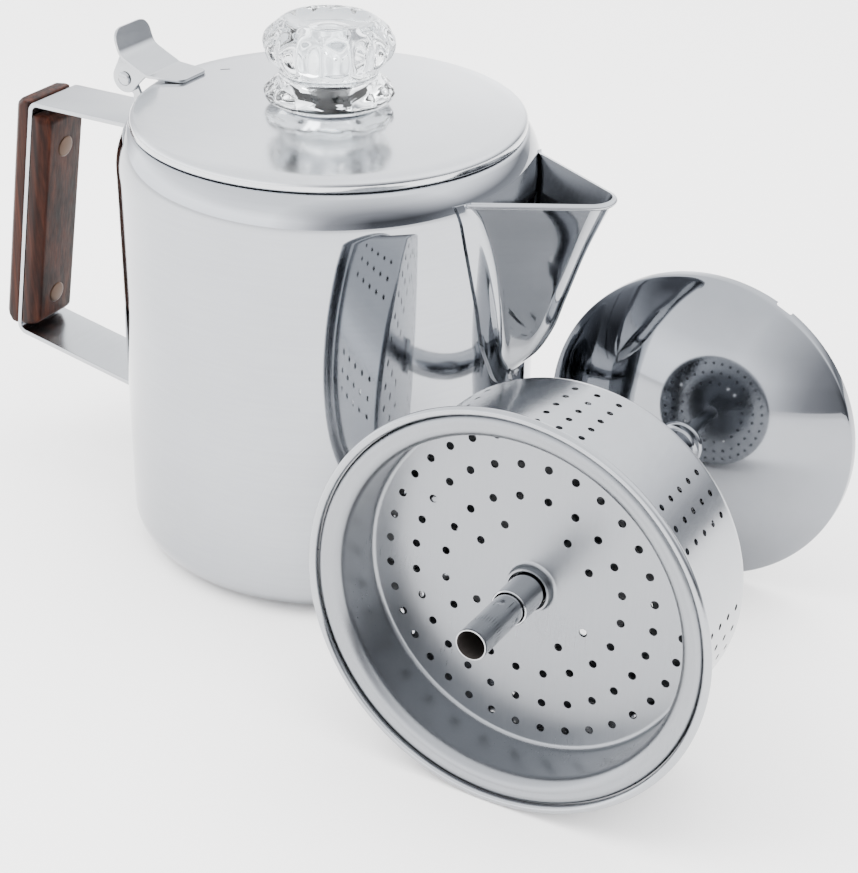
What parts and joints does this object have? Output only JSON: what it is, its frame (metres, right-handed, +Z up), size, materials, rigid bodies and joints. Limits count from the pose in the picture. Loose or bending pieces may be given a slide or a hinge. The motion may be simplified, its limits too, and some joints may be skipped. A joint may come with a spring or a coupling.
{
  "type": "coffee percolator",
  "caption": "Stove-top camping percolator: cylindrical pot with V spout, wood-gripped strap handle, hinged lid, glass knob, and a pump tube with basket lying beside it.",
  "frame": {"origin": "centre of the pot's flat base, on the table it stands on", "axes": "+Z up, +X from the pot's axis towards the spout's tip (handle at -X), +Y completes a right-handed frame; the pump set lies on the table at +X, its tube end towards -Y"},
  "size_m": [0.3279, 0.2031, 0.1862],
  "materials": {
    "polished_steel": "mirror polished",
    "satin_steel": "satin",
    "brushed_steel": "brushed",
    "rosewood": "oiled",
    "clear_glass": "clear"
  },
  "bodies": {
    "pot": {"pot_shell": "polished_steel", "spout": "polished_steel", "handle_strap": "satin_steel", "grip_outer": "rosewood", "grip_inner": "rosewood", "grip_rivets": "satin_steel", "hinge_bracket": "satin_steel", "hinge_pin": "satin_steel", "hinge_washers": "satin_steel"},
    "lid": {"lid_shell": "polished_steel", "thumb_lever": "satin_steel", "knob_seat": "satin_steel"},
    "knob": {"knob_glass": "clear_glass"},
    "pump": {"pump_tube": "satin_steel", "pump_dome": "polished_steel", "dome_ferrule": "satin_steel", "stop_collar": "satin_steel"},
    "basket": {"basket_cup": "brushed_steel", "basket_sleeve": "satin_steel", "sleeve_crimp": "satin_steel"},
    "spreader": {"spreader": "brushed_steel"}
  },
  "joints": [
    {"name": "lid_hinge", "type": "hinge", "parent": "pot", "child": "lid", "pos_m": [-0.0765, 0, 0.1545], "axis": [0, -1, 0], "range_deg": [0, 110]},
    {"name": "knob_twist", "type": "hinge", "parent": "lid", "child": "knob", "pos_m": [0, 0, 0.158], "axis": [0, 0, 1], "range_deg": [0, 75]},
    {"name": "pump_lift", "type": "slide", "parent": "pot", "child": "pump", "axis": [0, 0, 1], "range_m": [0, 0.06]},
    {"name": "basket_slide", "type": "slide", "parent": "pump", "child": "basket", "axis": [0, -0.9984, 0.0567], "range_m": [0, 0.05]},
    {"name": "spreader_slide", "type": "slide", "parent": "basket", "child": "spreader", "axis": [0, -0.9984, 0.0567], "range_m": [0, 0.04]}
  ]
}
